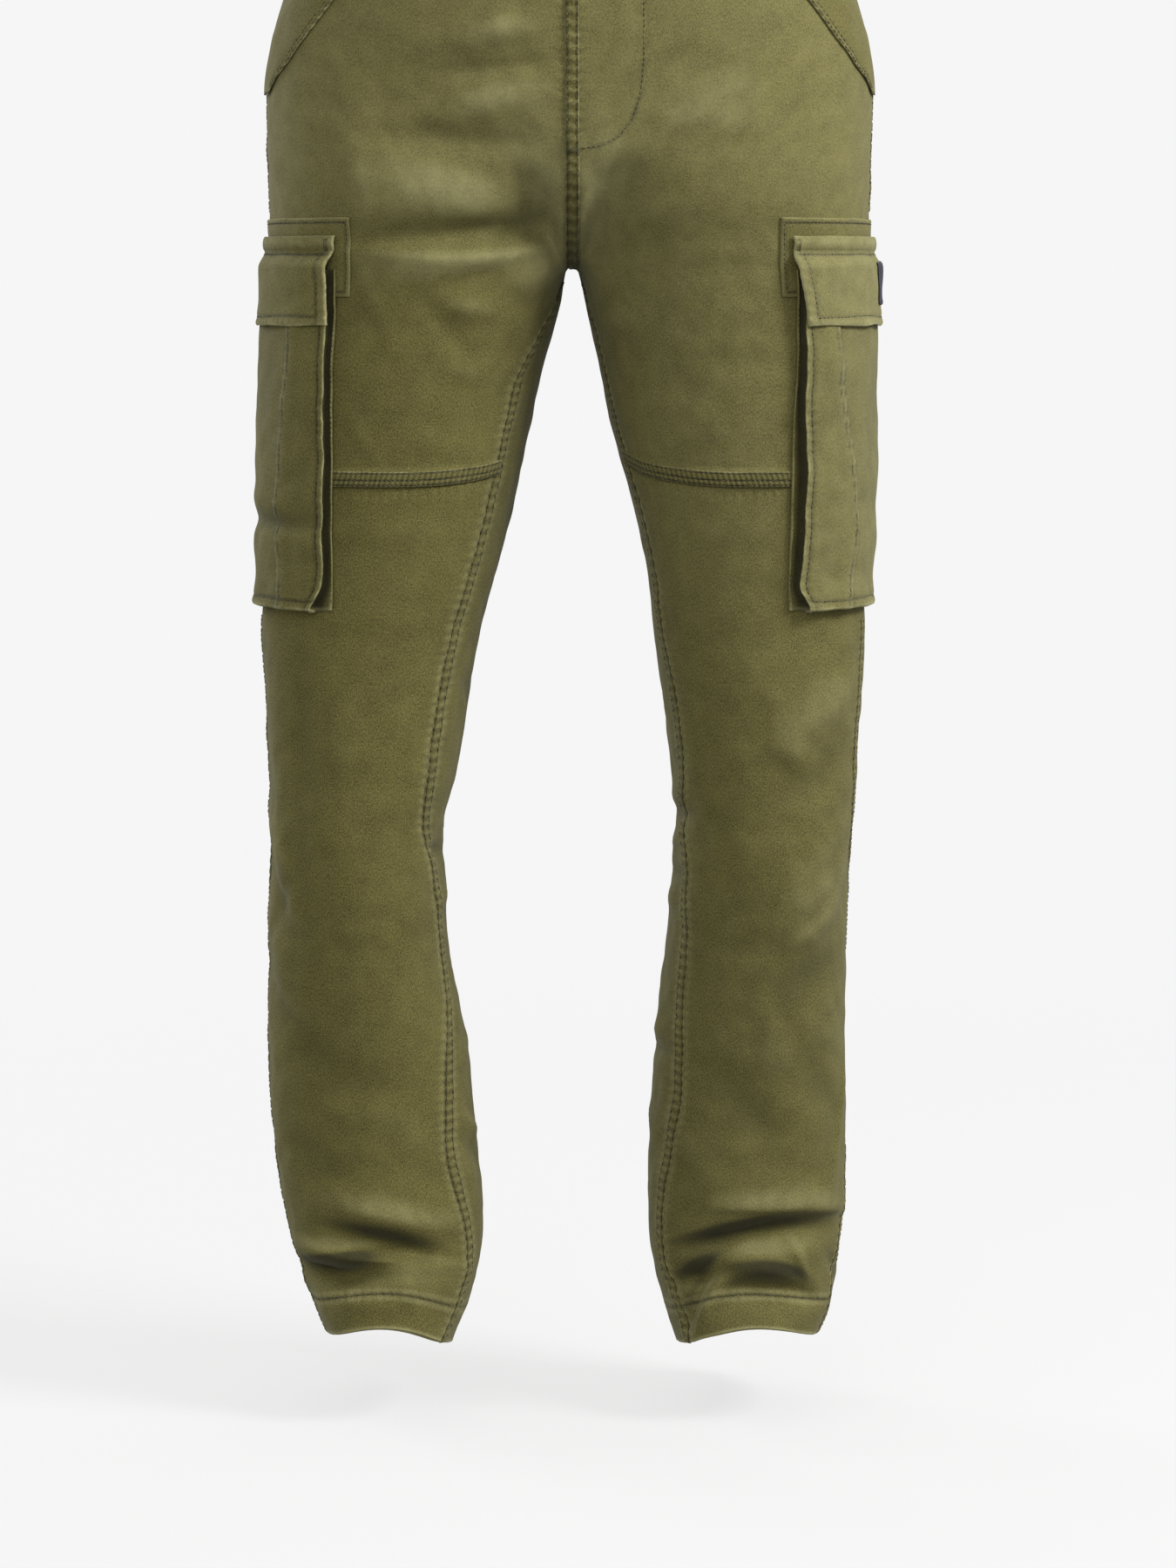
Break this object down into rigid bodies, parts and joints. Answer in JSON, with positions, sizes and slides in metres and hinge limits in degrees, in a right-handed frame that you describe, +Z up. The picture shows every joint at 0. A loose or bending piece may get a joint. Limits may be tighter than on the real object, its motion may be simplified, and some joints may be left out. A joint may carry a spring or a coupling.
{
  "type": "cargo trousers",
  "caption": "Straight cargo trousers in washed cotton twill, standing as worn, with an open waist and hems and a flapped bellows pocket on each thigh.",
  "frame": {"origin": "middle of the waist, level with the waistband's top edge, where the wearer holds the trousers up", "axes": "+Z up out of the waist, -Y to the front, +X to the wearer's left"},
  "size_m": [0.4436, 0.2641, 1.0552],
  "materials": {
    "twill": "washed olive cotton twill",
    "worn_twill": "washed olive cotton twill, paler at its edges",
    "navy_tape": "matte woven navy tape",
    "horn": "dull dark brown"
  },
  "bodies": {
    "root": {"waistband": "twill", "front_upper_right": "twill", "front_lower_right": "twill", "back_right": "twill", "hip_pocket_right": "twill", "cargo_stay_right": "twill", "cargo_bag_right": "twill", "cargo_flap_right": "worn_twill", "front_upper_left": "twill", "front_lower_left": "twill", "back_left": "twill", "hip_pocket_left": "twill", "cargo_stay_left": "twill", "cargo_bag_left": "twill", "cargo_flap_left": "worn_twill", "fly_edge": "twill", "flap_tab": "navy_tape", "waist_button": "horn"}
  },
  "joints": []
}
